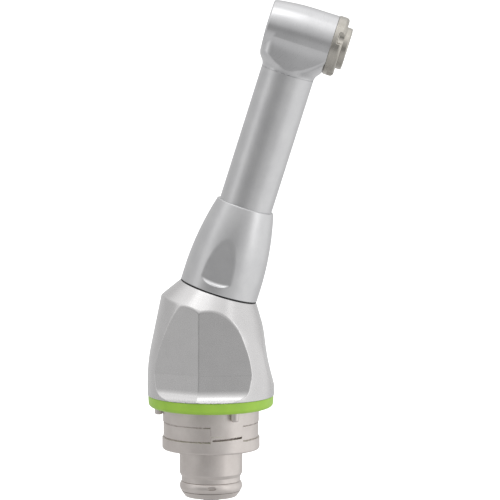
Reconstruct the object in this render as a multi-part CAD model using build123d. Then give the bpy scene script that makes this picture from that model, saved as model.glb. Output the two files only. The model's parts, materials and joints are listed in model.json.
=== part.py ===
from build123d import *
import math
import os

# Contra angle handpiece, in millimetres and degrees.
# The coupling axis is Z and the drum's lower face is at Z = 0. The neck leans towards +X.

# The bent axis
BEND_Z = 22.4
NECK_TILT = 17.5
HEAD_T = 49.3

# Clearances: parts of one body that sit in each other, and parts that turn past each other
FIT_GAP = 0.015
RUN_GAP = 0.03

# Coupling end
SPIGOT_R = 5.27
SPIGOT_LENGTH = 4.1
SPIGOT_TAIL_R = 5.0
SPIGOT_TOP = 7.0
SPIGOT_BORE_R = 2.7
GROOVE_R = 4.93
GROOVE_HIGH = -4.7
GROOVE_LOW = -5.5
NOSE_R = 4.95
NOSE_HIGH = -7.15
NOSE_TIP_R = 4.55
NOSE_BORE_R = 1.75
NOSE_END = -8.15
SNAP_SEAT_R = 4.6
SNAP_R = 5.25
SNAP_Z = -6.3
SNAP_HIGH = -5.52
SNAP_LOW = -7.13
DIMPLE_Z = -6.15
DIMPLE_ANGLE = 4.5
DIMPLE_LENGTH = 1.3
DIMPLE_WIDTH = 0.5
DRUM_R = 8.05
DRUM_RIM_R = 8.16
RIM_ROUND = 0.3
RIM_TOP = 3.0
DRUM_TOP = 7.06
BAND_LOW = 2.1
BAND_HIGH = 4.54
BAND_DEPTH = 0.1
LUG_START = -87.5
LUG_SWEEP = 42.0
SLOT_ANGLE = -66.5
SLOT_Z = 2.55
SLOT_RISE = 3.3
SLOT_LENGTH = 5.2
SLOT_WIDTH = 0.28
SLOT_DEPTH = 0.8
REGISTER_R = 7.48
REGISTER_BORE_R = 6.6
REGISTER_TOP = 9.1
RING_TOP = 9.0
RING_R = 10.5
RING_ROUND = 0.7
PEG_R = 0.675
PEG_LOW = 5.6
PEG_TOP = 10.5
PEG_CIRCLE_R = 8.75
PEG_ANGLES = (60.0, 180.0, 300.0)

# Grip body
BODY_R = 10.62
BODY_CONE = 11.6
BODY_ARC_LOW = 11.3
BODY_ARC_R = 31.0
BODY_BOSS_R = 8.2
SHOULDER_R = 6.63
SHOULDER_T = 4.3
SHOULDER_CONE = 33.5
# Each facet: its angle about Z, its distance from the axis at the bend's height, how much it leans in
# per millimetre of height, then the foot: its top, the drop and angle of its slope, and its flare's radius
FACETS = (
    (0.0, 8.59, 0.078, 17.0, 0.0, 4.46, 20.0),
    (82.5, 8.33, 0.024, 13.35, 2.45, 10.0, 2.4),
    (-82.5, 8.33, 0.024, 13.35, 2.45, 10.0, 2.4),
    (115.5, 8.45, 0.022, 13.35, 2.45, 10.0, 2.4),
    (-115.5, 8.45, 0.022, 13.35, 2.45, 10.0, 2.4),
)
CAVITY_R = 7.5
CAVITY_TOP = 20.4
GEAR_BORE_R = 3.9
GEAR_BORE_TOP = 22.6
GEAR_BORE_START = -0.6

# Middle sleeve and neck
SEAL_BORE_R = 5.6
SLEEVE_LOW = 4.5
SLEEVE_HIGH = 19.4
SLEEVE_ARC_LOW = 6.3
SLEEVE_ARC_R = 49.5
SLEEVE_FLAT = 6.12
SLEEVE_FLAT_LOW = 5.75
SLEEVE_FLAT_ANGLE = 8.0
NECK_R = 4.49
NECK_TAIL_R = 4.2
NECK_TAIL_LOW = 2.1
NECK_HIGH = 42.6
NECK_SPIGOT_R = 3.8
NECK_TOP = 45.0

# Head
HEAD_FRONT = -5.72
HEAD_BACK = 5.45
HEAD_R = 4.93
HEAD_FULL = 1.5
HEAD_BULGE = 0.0124
HEAD_ROUND = 0.5
HEAD_MOUTH_R = 2.2
HEAD_BORE_R = 3.6
HEAD_GEAR_BORE_R = 3.3
BOSS_SHARE = 0.93
HEAD_TAPER = 0.94
HEAD_FOOT_DEPTH = 7.2
FLARE_BEND = 40.0
FLARE_R = 1.6
CAP_R = 5.05
CAP_BACK = 7.25
CAP_ROUND = 0.6
CAP_BORE_R = 4.2
CAP_FLOOR = 5.85
SCALLOP_R = 1.35
SCALLOP_OUT = 0.75
SCALLOP_LOW = 6.2
SCALLOP_FIRST = -21.0
BUTTON_R = 3.57
BUTTON_BACK = 8.25
BUTTON_FLANGE_R = 3.95
BUTTON_FLANGE_LOW = 6.45
BUTTON_FLANGE_TOP = 6.8
BUTTON_BOSS_R = 1.0
BUTTON_BOSS_LOW = 6.9
BUTTON_ROOF = 7.45
RETAINER_LOW = 6.85
COIL_R = 2.85
COIL_WIRE_R = 0.14
COIL_TURNS = 3
COIL_LOW = 5.66
COIL_HIGH = 7.3

# Drive train
BEARING_BORE_R = 1.5
BEARING_R = 3.175
BEARING_WIDTH = 2.0
BEARING_SEAT_R = BEARING_R + FIT_GAP
JOURNAL_R = BEARING_BORE_R - 0.01
BALL_R = 0.4
BALL_CIRCLE_R = 2.34
BALLS = 8
RACE_LIP = 0.22
CAGE_HALF = 0.12
CAGE_INSET = 0.4
CHUCK_R = 1.18
CHUCK_MOUTH = -5.55
CHUCK_END = 1.2
RELIEF_R = 1.4
RELIEF_END = 1.8
KEY_END = 3.4
KEY_FLAT = 0.08
PLUNGER_BORE_R = 0.95
PLUNGER_LOW = 3.9
PLUNGER_TOP = 6.75
COLLAR_R = 1.75
COLLAR_LOW = 1.0
COLLAR_TOP = 2.38
FRONT_COLLAR_R = 1.8
FRONT_COLLAR_TOP = -2.9
SPINDLE_TOP = 5.9
SHAFT_END = -11.2
SHAFT_TOP = 13.2
SHAFT_STUB_R = 1.3
SUN_SEAT_R = 1.2
TANG_HALF = 0.8
TANG_TOP = -9.9

PLANET_MODULE = 0.35
SUN_TEETH = 12
PLANET_TEETH = 12
RING_TEETH = 36
PLANET_PRESSURE = 25.0
PLANET_COUNT = 3
PLANET_LOW = 10.0
PLANET_HIGH = 13.0
PLANET_SLACK = 0.05
PLANET_ADDENDUM = 0.32
PLANET_DEDENDUM = 0.42
RING_ADDENDUM = 0.3
RING_GEAR_LOW = 9.1
RING_GEAR_HIGH = 13.8
PIN_R = 0.6
PIN_LOW = 9.3
PIN_TOP = 14.5
PLATE_R = 5.7
PLATE_LOW = 13.4
PLATE_HIGH = 14.8
CARRIER_TOP = 21.2
COVER_R = 2.9
COVER_TOP = 9.8
BLOCK_R = 6.3
SPACER_R = 2.0

BEVEL_MODULE = 0.4
BEND_TEETH = 16
HEAD_TEETH = 14
BEVEL_PRESSURE = 20.0
BEVEL_SLACK = 0.09
BEVEL_ADDENDUM = 0.28
BEVEL_DEDENDUM = 0.36
BEVEL_SUNK = 0.06
BEND_CONE = (180.0 - NECK_TILT) / 2
BEND_SHARE = 0.68
BEND_GEAR_BACK = -1.9
HEAD_CONE = 45.0
HEAD_SHARE = 0.74
HEAD_GEAR_BACK = -3.3
NECK_SHAFT_LOW = 1.2
NECK_SHAFT_TOP = HEAD_T - 2.4
NECK_WAIST_R = 1.1

# Bearing places: height of the lower face along Z, along the neck, or along the head axis
INPUT_BEARINGS = (-5.8, 4.4)
CARRIER_BEARINGS = (15.2, 18.2)
NECK_BEARINGS = (3.2, 42.6)
SPINDLE_BEARINGS = (-5.25, 3.45)

# Frames: NECK has its Z up the neck from the bend, HEAD has its Z along the bur axis towards the button
BASE = Location((0, 0, 0))
NECK = Location((0, 0, BEND_Z), (0, NECK_TILT, 0))
HEAD = NECK * Location((0, 0, HEAD_T), (0, 90, 0))
TURNED_OVER = Location((0, 0, 0), (180, 0, 0))


def outline(start, *steps):
    """A closed face. Each step is a point for a straight side, or (middle, end) for an arc."""
    edges = []
    here = start
    for step in steps:
        if isinstance(step[0], tuple):
            middle, end = step
            edges.append(ThreePointArc(here, middle, end))
        else:
            end = step
            edges.append(Line(here, end))
        here = end
    edges.append(Line(here, start))
    return make_face(edges)


def turned(start, *steps):
    """A solid of revolution about Z from an outline of (radius, height)."""
    return revolve(Plane.XZ * outline(start, *steps), Axis.Z)


def tube(inner, outer, low, high):
    return turned((inner, low), (outer, low), (outer, high), (inner, high))


def rod(radius, low, high):
    return Pos(0, 0, low) * Cylinder(radius, high - low, align=(Align.CENTER, Align.CENTER, Align.MIN))


def turned_about(angle, shape):
    return Rot(0, 0, angle) * shape


def around(angles, shape):
    """Copies of a shape at the given angles about Z, as separate solids."""
    return Compound(children=[turned_about(angle, shape) for angle in angles])


def even_angles(count, first=0.0):
    return [first + 360.0 * index / count for index in range(count)]


# Gear teeth

def involute(angle):
    return math.tan(angle) - angle


def flank(pitch_r, pressure, root, tip, thickness):
    """(radius, half angle) up one side of an involute tooth, root first."""
    base_r = pitch_r * math.cos(pressure)
    foot = max(base_r, root)
    half = thickness / (2 * pitch_r) + involute(pressure)
    steps = 4
    points = []
    for step in range(steps):
        radius = foot + (tip - foot) * step / (steps - 1)
        points.append((radius, half - involute(math.acos(min(1.0, base_r / radius)))))
    if root < foot:
        points.insert(0, (root, points[0][1]))
    return points


def spur_outline(teeth, root, tip, thickness, first=0.0):
    """The closed outline of a spur gear. One tooth is centred at the angle first."""
    pitch_r = PLANET_MODULE * teeth / 2
    side = flank(pitch_r, math.radians(PLANET_PRESSURE), root, tip, thickness)
    points = []
    for tooth in even_angles(teeth, first):
        for radius, half in side:
            angle = math.radians(tooth) - half
            points.append((radius * math.cos(angle), radius * math.sin(angle)))
        for radius, half in reversed(side):
            angle = math.radians(tooth) + half
            points.append((radius * math.cos(angle), radius * math.sin(angle)))
    return make_face(Polyline(*points, close=True))


def spur_gear(teeth, bore, low, high, first=0.0):
    pitch_r = PLANET_MODULE * teeth / 2
    thickness = math.pi * PLANET_MODULE / 2 - PLANET_SLACK
    face = spur_outline(teeth, pitch_r - PLANET_DEDENDUM, pitch_r + PLANET_ADDENDUM, thickness, first)
    blank = extrude(Pos(0, 0, low) * face, amount=high - low, dir=(0, 0, 1))
    return blank - rod(bore, low - 1, high + 1)


def bevel_gear(teeth, cone, inner_share, back, bore, first=0.0):
    """A straight bevel gear below its apex at the origin. One tooth is centred at the angle first."""
    pitch_r = BEVEL_MODULE * teeth / 2
    angle = math.radians(cone)
    reach = pitch_r / math.sin(angle)
    virtual_r = reach * math.tan(angle)
    thickness = math.pi * BEVEL_MODULE / 2 - BEVEL_SLACK
    side = flank(
        virtual_r,
        math.radians(BEVEL_PRESSURE),
        virtual_r - BEVEL_DEDENDUM,
        virtual_r + BEVEL_ADDENDUM,
        thickness,
    )
    side.insert(0, (side[0][0] - BEVEL_SUNK, side[0][1]))

    def on_cone(across, height, share):
        radius = share * (reach * math.sin(angle) + height * math.cos(angle))
        level = share * (-reach * math.cos(angle) + height * math.sin(angle))
        return (radius, share * across, level)

    section = [(-radius * math.sin(half), radius * math.cos(half) - virtual_r) for radius, half in side]
    section += [(-across, height) for across, height in reversed(section)]
    rings = []
    for share in (1.0, inner_share):
        rings.append(Wire.make_polygon([on_cone(u, v, share) for u, v in section], close=True))
    tooth = Solid.make_loft(rings, ruled=True)
    outer_r, _, outer_z = on_cone(0, -BEVEL_DEDENDUM, 1.0)
    inner_r, _, inner_z = on_cone(0, -BEVEL_DEDENDUM, inner_share)
    edge = 0.3
    face_z = inner_z - edge / 2
    blank = turned((bore, back), (outer_r - edge, back), (outer_r, outer_z - edge), (outer_r, outer_z),
                   (inner_r, inner_z), (inner_r - edge / 3, face_z), (bore, face_z))
    return blank.fuse(*[turned_about(place, tooth) for place in even_angles(teeth, first)])


# Ball bearings

def race_groove(low):
    """The torus that a bearing's balls run in."""
    return Pos(0, 0, low + BEARING_WIDTH / 2) * Torus(BALL_CIRCLE_R, BALL_R + RUN_GAP)


def outer_race(low):
    return tube(BALL_CIRCLE_R + RACE_LIP, BEARING_R, low, low + BEARING_WIDTH) - race_groove(low)


def inner_race(low):
    return tube(BEARING_BORE_R, BALL_CIRCLE_R - RACE_LIP, low, low + BEARING_WIDTH) - race_groove(low)


def bearing_balls(low):
    ball = Pos(BALL_CIRCLE_R, 0, low + BEARING_WIDTH / 2) * Sphere(BALL_R)
    return [turned_about(angle, ball) for angle in even_angles(BALLS)]


def bearing_cage(low):
    """A thin band between the races, with a pocket for each ball."""
    inner = BALL_CIRCLE_R - CAGE_HALF
    outer = BALL_CIRCLE_R + CAGE_HALF
    band = tube(inner, outer, low + CAGE_INSET, low + BEARING_WIDTH - CAGE_INSET)
    middle = low + BEARING_WIDTH / 2
    pocket = Pos(BALL_CIRCLE_R, 0, middle) * Rot(0, 90, 0) * Cylinder(BALL_R + RUN_GAP, 1.0)
    for angle in even_angles(BALLS):
        band = band - turned_about(angle, pocket)
    return band


def bearing_set(frame, lows):
    """Four groups for the bearings of one shaft: outer races, inner races, balls and cages."""
    balls = [ball for low in lows for ball in bearing_balls(low)]
    return (
        frame * Compound(children=[outer_race(low) for low in lows]),
        frame * Compound(children=[inner_race(low) for low in lows]),
        frame * Compound(children=balls),
        frame * Compound(children=[bearing_cage(low) for low in lows]),
    )


# Coupling end

def make_spigot():
    """Turned stub with the bearing seats of the drive shaft, and a nose that the snap ring sits on."""
    low_seat, high_seat = INPUT_BEARINGS
    return turned(
        (NOSE_BORE_R, NOSE_END), (NOSE_TIP_R - 0.15, NOSE_END), (NOSE_TIP_R, NOSE_END + 0.15),
        (NOSE_R, NOSE_HIGH - 0.05), (SNAP_SEAT_R, NOSE_HIGH), (SNAP_SEAT_R, GROOVE_LOW),
        (GROOVE_R, GROOVE_LOW), (GROOVE_R, GROOVE_HIGH), (SPIGOT_R, -SPIGOT_LENGTH), (SPIGOT_R, 0),
        (SPIGOT_TAIL_R, 0), (SPIGOT_TAIL_R, SPIGOT_TOP), (BEARING_SEAT_R, SPIGOT_TOP),
        (BEARING_SEAT_R, high_seat), (SPIGOT_BORE_R, high_seat), (SPIGOT_BORE_R, low_seat + BEARING_WIDTH),
        (BEARING_SEAT_R, low_seat + BEARING_WIDTH), (BEARING_SEAT_R, low_seat), (NOSE_BORE_R, low_seat),
    )


def make_snap_ring():
    """Rounded detent ring below the groove, with a small sunk dimple at the front."""
    inner = SNAP_SEAT_R + 0.02
    ring = turned(
        (inner, SNAP_HIGH), (SNAP_R - 0.27, SNAP_HIGH), ((SNAP_R - 0.05, SNAP_HIGH - 0.28), (SNAP_R, SNAP_Z)),
        ((SNAP_R - 0.09, SNAP_LOW + 0.37), (SNAP_R - 0.35, SNAP_LOW)), (inner, SNAP_LOW),
    )
    front = Plane((0, -6, DIMPLE_Z), x_dir=(1, 0, 0), z_dir=(0, 1, 0))
    dimple = extrude(front * SlotOverall(DIMPLE_LENGTH, DIMPLE_WIDTH), amount=1.05)
    return ring - turned_about(DIMPLE_ANGLE, dimple)


def sector(inner, outer, low, high, start, sweep):
    """A part of a ring, from an angle about Z and through a sweep."""
    face = outline((inner, low), (outer, low), (outer, high), (inner, high))
    return turned_about(start, revolve(Plane.XZ * face, Axis.Z, revolution_arc=sweep))


def make_coupling_drum():
    """Bayonet drum: rim, band groove broken by the lug, a sloping slot under the lug, and a register."""
    bore = SPIGOT_TAIL_R + FIT_GAP
    bulge = 0.29 * RIM_ROUND
    drum = turned(
        (bore, 0.3), (SPIGOT_R + 0.05, 0), (DRUM_RIM_R - RIM_ROUND, 0),
        ((DRUM_RIM_R - bulge, bulge), (DRUM_RIM_R, RIM_ROUND)),
        (DRUM_RIM_R, RIM_TOP), (DRUM_R, RIM_TOP), (DRUM_R, DRUM_TOP), (REGISTER_R, DRUM_TOP),
        (REGISTER_R, REGISTER_TOP), (REGISTER_BORE_R, REGISTER_TOP), (REGISTER_BORE_R, DRUM_TOP),
        (bore, DRUM_TOP),
    )
    after_lug = LUG_START + LUG_SWEEP
    band = sector(DRUM_R - BAND_DEPTH, DRUM_RIM_R + 1, BAND_LOW, BAND_HIGH, after_lug, 360 - LUG_SWEEP)
    slot = Rot(SLOT_RISE, 0, 0) * Box(2 * SLOT_DEPTH, SLOT_LENGTH, SLOT_WIDTH)
    return drum - band - turned_about(SLOT_ANGLE, Pos(DRUM_R, 0, SLOT_Z) * slot)


def make_index_pegs():
    """Three round pegs that stand down from the grip body through the ratio ring."""
    dome = 0.3
    peg = turned((0, PEG_LOW), ((PEG_R * 0.75, PEG_LOW + dome * 0.3), (PEG_R, PEG_LOW + dome)),
                 (PEG_R, PEG_TOP), (0, PEG_TOP))
    return around(PEG_ANGLES, Pos(PEG_CIRCLE_R, 0, 0) * peg)


def peg_holes():
    return around(PEG_ANGLES, Pos(PEG_CIRCLE_R, 0, 0) * rod(PEG_R + FIT_GAP, DRUM_TOP - 1, PEG_TOP))


def make_ratio_ring():
    inner = BODY_BOSS_R + 0.02
    top = RING_TOP - 0.02
    bulge = 0.29 * RING_ROUND
    return turned(
        (inner, DRUM_TOP), (RING_R - RING_ROUND, DRUM_TOP),
        ((RING_R - bulge, DRUM_TOP + bulge), (RING_R, DRUM_TOP + RING_ROUND)), (RING_R, top), (inner, top),
    ) - peg_holes()


# Grip body

def facet_cutter(distance, lean, foot_top, drop, angle, flare_r):
    """Removes one grip facet on the +X side: a leaning flat, a short slope at its foot, and a flare."""
    top = 30.0
    out = 30.0
    upper = distance + lean * (BEND_Z - top)
    start = distance + lean * (BEND_Z - foot_top)
    slope = math.radians(angle)
    knee = (start + drop * math.tan(slope), foot_top - drop)
    end = math.radians(80.0)

    def on_flare(turn):
        reach = knee[0] + flare_r * (math.cos(slope) - math.cos(turn))
        return (reach, knee[1] - flare_r * (math.sin(turn) - math.sin(slope)))

    foot = on_flare(end)
    face_steps = [knee] if drop else []
    face_steps += [(on_flare((slope + end) / 2), foot), (out, foot[1]), (out, top)]
    face = outline((upper, top), (start, foot_top), *face_steps)
    return extrude(Plane.XZ * face, amount=9.0, both=True)


def turned_body():
    """The grip body before its facets: a boss, a cylinder, an arc and a cone."""
    cone = math.radians(BODY_CONE)
    top = 30.0
    edge = 0.12

    def on_arc(angle):
        return (BODY_R - BODY_ARC_R * (1 - math.cos(angle)), BODY_ARC_LOW + BODY_ARC_R * math.sin(angle))

    arc_r, arc_z = on_arc(cone)
    return turned(
        (0, DRUM_TOP), (BODY_BOSS_R, DRUM_TOP), (BODY_BOSS_R, RING_TOP), (BODY_R - edge, RING_TOP),
        (BODY_R, RING_TOP + edge), (BODY_R, BODY_ARC_LOW), (on_arc(cone / 2), (arc_r, arc_z)),
        (arc_r - (top - arc_z) * math.tan(cone), top), (0, top),
    )


def above_shoulder():
    """All that lies above the conical shoulder, which is square to the neck."""
    fall = math.tan(math.radians(SHOULDER_CONE))
    drop = 14.0
    low = SHOULDER_T - drop
    return NECK * turned((0, SHOULDER_T), (SHOULDER_R, SHOULDER_T), (SHOULDER_R + drop * fall, low),
                         (30, low), (30, 20), (0, 20))


def make_rear_body():
    """Grip body: five facets, a conical shoulder square to the neck, and the gear cavities."""
    body = turned_body()
    for angle, *shape in FACETS:
        body = body - turned_about(angle, facet_cutter(*shape))
    body = body - above_shoulder() - peg_holes()
    body = body - rod(CAVITY_R, DRUM_TOP - 1, CAVITY_TOP) - rod(GEAR_BORE_R, CAVITY_TOP - 1, GEAR_BORE_TOP)
    body = body - NECK * rod(GEAR_BORE_R, GEAR_BORE_START, NECK_TAIL_LOW)
    return body - NECK * rod(NECK_TAIL_R + FIT_GAP, NECK_TAIL_LOW, SLEEVE_LOW + 1)


def make_bend_o_ring():
    return NECK * tube(SEAL_BORE_R, SHOULDER_R - 0.08, SHOULDER_T, SLEEVE_LOW)


# Middle sleeve and neck

def make_middle_sleeve():
    """Barrel-shaped sleeve with one milled flat on each side."""
    inner = NECK_TAIL_R + FIT_GAP
    edge = 0.1

    def on_arc(height):
        rise = height - SLEEVE_ARC_LOW
        return (SHOULDER_R - SLEEVE_ARC_R + math.sqrt(SLEEVE_ARC_R ** 2 - rise ** 2), height)

    middle = (SLEEVE_ARC_LOW + SLEEVE_HIGH) / 2
    sleeve = turned(
        (inner, SLEEVE_LOW), (SHOULDER_R - edge, SLEEVE_LOW), (SHOULDER_R, SLEEVE_LOW + edge),
        (SHOULDER_R, SLEEVE_ARC_LOW), (on_arc(middle), on_arc(SLEEVE_HIGH - edge)),
        (on_arc(SLEEVE_HIGH)[0] - edge, SLEEVE_HIGH), (inner, SLEEVE_HIGH),
    )
    length = SLEEVE_HIGH - SLEEVE_FLAT_LOW + 1
    flat = Pos(0, -SLEEVE_FLAT - 2, SLEEVE_FLAT_LOW + length / 2) * Box(12, 4, length)
    for way in (-SLEEVE_FLAT_ANGLE, 180 + SLEEVE_FLAT_ANGLE):
        sleeve = sleeve - turned_about(way, flat)
    return NECK * sleeve


def make_neck_tube():
    """Neck with a tail that plugs into the grip body, and a spigot that holds the head."""
    return NECK * turned(
        (BEARING_SEAT_R, NECK_TAIL_LOW), (NECK_TAIL_R, NECK_TAIL_LOW), (NECK_TAIL_R, SLEEVE_HIGH),
        (NECK_R, SLEEVE_HIGH), (NECK_R, NECK_HIGH), (NECK_SPIGOT_R, NECK_HIGH), (NECK_SPIGOT_R, NECK_TOP),
        (BEARING_SEAT_R, NECK_TOP),
    )


# Head

def on_barrel(height):
    """A point of the barrel's outline: it narrows towards the bur side."""
    return (HEAD_R - HEAD_BULGE * max(0.0, HEAD_FULL - height) ** 2, height)


def make_barrel():
    edge = on_barrel(HEAD_FRONT + HEAD_ROUND)
    face_r = edge[0] - 0.26
    corner = (edge[0] - 0.07, HEAD_FRONT + 0.14)
    return HEAD * turned(
        (0, HEAD_FRONT), (face_r, HEAD_FRONT), (corner, edge), (on_barrel(-1.8), on_barrel(HEAD_FULL)),
        (HEAD_R, HEAD_BACK), (0, HEAD_BACK),
    )


def make_head_boss():
    """The block under the barrel: a little narrower than it, with a foot that is coned down to the neck."""

    def on_boss(height):
        return (BOSS_SHARE * on_barrel(height)[0], height)

    edge = on_boss(HEAD_FRONT + HEAD_ROUND)
    full = on_boss(HEAD_FULL)
    back = on_boss(HEAD_BACK)
    face = (edge[0] - 0.26, HEAD_FRONT)
    half = [Line(face, edge), ThreePointArc(edge, on_boss(-1.8), full), Line(full, back)]
    sides = half + [mirror(side, Plane.YZ) for side in half]
    sides += [Line(back, (-back[0], back[1])), Line((-face[0], face[1]), face)]
    plan = Plane((0, 0, 0), x_dir=(0, 1, 0), z_dir=(0, 0, -1)) * make_face(sides)
    lower = Pos(0, 0, -HEAD_FOOT_DEPTH) * scale(plan, HEAD_TAPER)
    block = Solid.make_loft([plan.face().outer_wire(), lower.face().outer_wire()], ruled=True)
    bend = math.radians(FLARE_BEND)
    low = NECK_HIGH - HEAD_T
    widening = 4.6

    def on_flare(angle):
        return (NECK_R + FLARE_R * (1 - math.cos(angle)), low + FLARE_R * math.sin(angle))

    end_r, end_z = on_flare(bend)
    flare = turned(
        (0, low), (NECK_R, low), (on_flare(bend / 2), (end_r, end_z)),
        (end_r + widening * math.tan(bend), end_z + widening), (9, 0), (0, 0),
    )
    return NECK * Pos(0, 0, HEAD_T) * (block & flare)


def make_head_housing():
    """Barrel about the bur axis, standing on its boss, bored for the spindle and for the neck."""
    front_low = SPINDLE_BEARINGS[0]
    head = make_barrel() + make_head_boss()
    head = head - HEAD * rod(HEAD_MOUTH_R, HEAD_FRONT - 1, 0) - HEAD * rod(BEARING_SEAT_R, front_low, 0)
    head = head - HEAD * rod(HEAD_BORE_R, front_low + BEARING_WIDTH, HEAD_BACK + 1)
    head = head - NECK * rod(NECK_SPIGOT_R + FIT_GAP, NECK_HIGH - 1, NECK_TOP)
    return head - NECK * rod(HEAD_GEAR_BORE_R, NECK_TOP - 1, HEAD_T)


def make_front_seal():
    """Shield ring in the mouth of the head, around the spindle's nose."""
    low = HEAD_FRONT + 0.1
    return HEAD * tube(BEARING_BORE_R + 0.1, HEAD_MOUTH_R - FIT_GAP, low, SPINDLE_BEARINGS[0] - 0.05)


def make_back_cap():
    """Screwed cap that holds the rear bearing, with four scallops for its spanner."""
    rear_low = SPINDLE_BEARINGS[1]
    thread_r = HEAD_BORE_R - FIT_GAP
    bulge = 0.3 * CAP_ROUND
    cap = turned(
        (BEARING_SEAT_R, rear_low), (thread_r, rear_low), (thread_r, HEAD_BACK), (CAP_R - 0.1, HEAD_BACK),
        (CAP_R, HEAD_BACK + 0.1), (CAP_R, CAP_BACK - CAP_ROUND),
        ((CAP_R - bulge, CAP_BACK - bulge), (CAP_R - CAP_ROUND, CAP_BACK)), (CAP_BORE_R, CAP_BACK),
        (CAP_BORE_R, CAP_FLOOR), (BEARING_SEAT_R, CAP_FLOOR),
    )
    scallop = Pos(CAP_R + SCALLOP_OUT, 0, 0) * rod(SCALLOP_R, SCALLOP_LOW, CAP_BACK + 1)
    for angle in even_angles(4, SCALLOP_FIRST):
        cap = cap - turned_about(angle, scallop)
    return HEAD * cap


def make_button_retainer():
    return HEAD * tube(BUTTON_R + 0.06, CAP_BORE_R - FIT_GAP, RETAINER_LOW, CAP_BACK - 0.02)


def make_push_button():
    """Cap that slides in the retainer, with a flange that stops it and a boss that meets the plunger."""
    skirt_r = BUTTON_R - 0.17
    crown = (BUTTON_R - 0.35, BUTTON_BACK - 0.02)
    return HEAD * turned(
        (0, BUTTON_BOSS_LOW), (BUTTON_BOSS_R, BUTTON_BOSS_LOW), (BUTTON_BOSS_R, BUTTON_ROOF),
        (skirt_r, BUTTON_ROOF), (skirt_r, BUTTON_FLANGE_LOW), (BUTTON_FLANGE_R, BUTTON_FLANGE_LOW),
        (BUTTON_FLANGE_R, BUTTON_FLANGE_TOP), (BUTTON_R, BUTTON_FLANGE_TOP), (BUTTON_R, BUTTON_BACK - 0.3),
        ((BUTTON_R - 0.1, BUTTON_BACK - 0.1), crown), (2.9, BUTTON_BACK), (0, BUTTON_BACK),
    )


def make_button_spring():
    """Coil spring between the rear bearing and the push button."""
    height = COIL_HIGH - COIL_LOW
    path = Helix(pitch=height / COIL_TURNS, height=height, radius=COIL_R, center=(0, 0, COIL_LOW))
    section = Plane(path @ 0, z_dir=path % 0) * Circle(COIL_WIRE_R)
    return HEAD * sweep(section, path=path)


def make_spindle():
    """Hollow spindle. The bur shank goes in from the front; the collars bear on the bearing and the gear."""
    front_end = SPINDLE_BEARINGS[0] + BEARING_WIDTH
    return HEAD * turned(
        (CHUCK_R, CHUCK_MOUTH), (JOURNAL_R, CHUCK_MOUTH), (JOURNAL_R, front_end), (FRONT_COLLAR_R, front_end),
        (FRONT_COLLAR_R, FRONT_COLLAR_TOP), (JOURNAL_R, FRONT_COLLAR_TOP), (JOURNAL_R, COLLAR_LOW - 0.1),
        (COLLAR_R, COLLAR_LOW), (COLLAR_R, COLLAR_TOP), (JOURNAL_R, COLLAR_TOP), (JOURNAL_R, SPINDLE_TOP),
        (PLUNGER_BORE_R, SPINDLE_TOP), (PLUNGER_BORE_R, KEY_END), (CHUCK_R, KEY_END), (CHUCK_R, RELIEF_END),
        (RELIEF_R, RELIEF_END), (RELIEF_R, CHUCK_END), (CHUCK_R, CHUCK_END),
    )


def make_drive_key():
    """Half-moon insert that takes the flat at the end of the bur shank."""
    low = RELIEF_END + 0.02
    half = Pos(0, KEY_FLAT + 2, (low + KEY_END) / 2) * Box(6, 4, KEY_END - low)
    return HEAD * (rod(CHUCK_R - 0.005, low, KEY_END) & half)


def make_release_plunger():
    """Pin in the rear of the spindle. The button pushes it forward to free the shank."""
    radius = PLUNGER_BORE_R - RUN_GAP
    return HEAD * turned((0, PLUNGER_LOW), (0.5, PLUNGER_LOW), (radius, PLUNGER_LOW + 0.5),
                         (radius, PLUNGER_TOP - 0.15), (radius - 0.15, PLUNGER_TOP), (0, PLUNGER_TOP))


def make_spindle_gear():
    gear = bevel_gear(HEAD_TEETH, HEAD_CONE, HEAD_SHARE, HEAD_GEAR_BACK, BEARING_BORE_R, 180.0 / HEAD_TEETH)
    return HEAD * TURNED_OVER * gear


# Shafts and bevel gears

def make_drive_shaft():
    """Input shaft with a two-flat tang below and the sun gear's seat above."""
    low_journal = INPUT_BEARINGS[0] - 0.1
    high_journal = INPUT_BEARINGS[1] + BEARING_WIDTH + 0.2
    shaft = turned(
        (0, SHAFT_END), (SHAFT_STUB_R - 0.2, SHAFT_END), (SHAFT_STUB_R, SHAFT_END + 0.2),
        (SHAFT_STUB_R, low_journal - 0.1), (JOURNAL_R, low_journal), (JOURNAL_R, high_journal),
        (SUN_SEAT_R, high_journal + 0.1), (SUN_SEAT_R, SHAFT_TOP), (0, SHAFT_TOP),
    )
    flat = Box(4, 1.1, 1.6, align=(Align.CENTER, Align.MIN, Align.MAX))
    for turn in (0, 180):
        shaft = shaft - turned_about(turn, Pos(0, TANG_HALF, TANG_TOP) * flat)
    return shaft


def make_carrier():
    """Carrier plate with its output shaft, bored for the planet pins."""
    seat = CARRIER_BEARINGS[0]
    plate = turned(
        (0, PLATE_LOW), (PLATE_R, PLATE_LOW), (PLATE_R, PLATE_HIGH), (SPACER_R, PLATE_HIGH), (SPACER_R, seat),
        (JOURNAL_R, seat), (JOURNAL_R, CARRIER_TOP), (0, CARRIER_TOP),
    )
    return plate - planet_pin_group(PIN_R + FIT_GAP / 3, PLATE_LOW - 0.4, PIN_TOP)


def planet_circle_r():
    return PLANET_MODULE * (SUN_TEETH + PLANET_TEETH) / 2


def planet_pin_group(radius, low, high):
    return around(even_angles(PLANET_COUNT), Pos(planet_circle_r(), 0, 0) * rod(radius, low, high))


def make_carrier_cover():
    """Thin ring on the lower ends of the planet pins."""
    cover = tube(COVER_R, PLATE_R, PIN_LOW, COVER_TOP)
    return cover - planet_pin_group(PIN_R + FIT_GAP / 3, PIN_LOW - 0.3, COVER_TOP + 0.2)


def make_planet(index):
    gear = spur_gear(PLANET_TEETH, PIN_R + RUN_GAP, PLANET_LOW, PLANET_HIGH, 180.0 / PLANET_TEETH)
    return turned_about(360.0 * index / PLANET_COUNT, Pos(planet_circle_r(), 0, 0) * gear)


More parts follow.
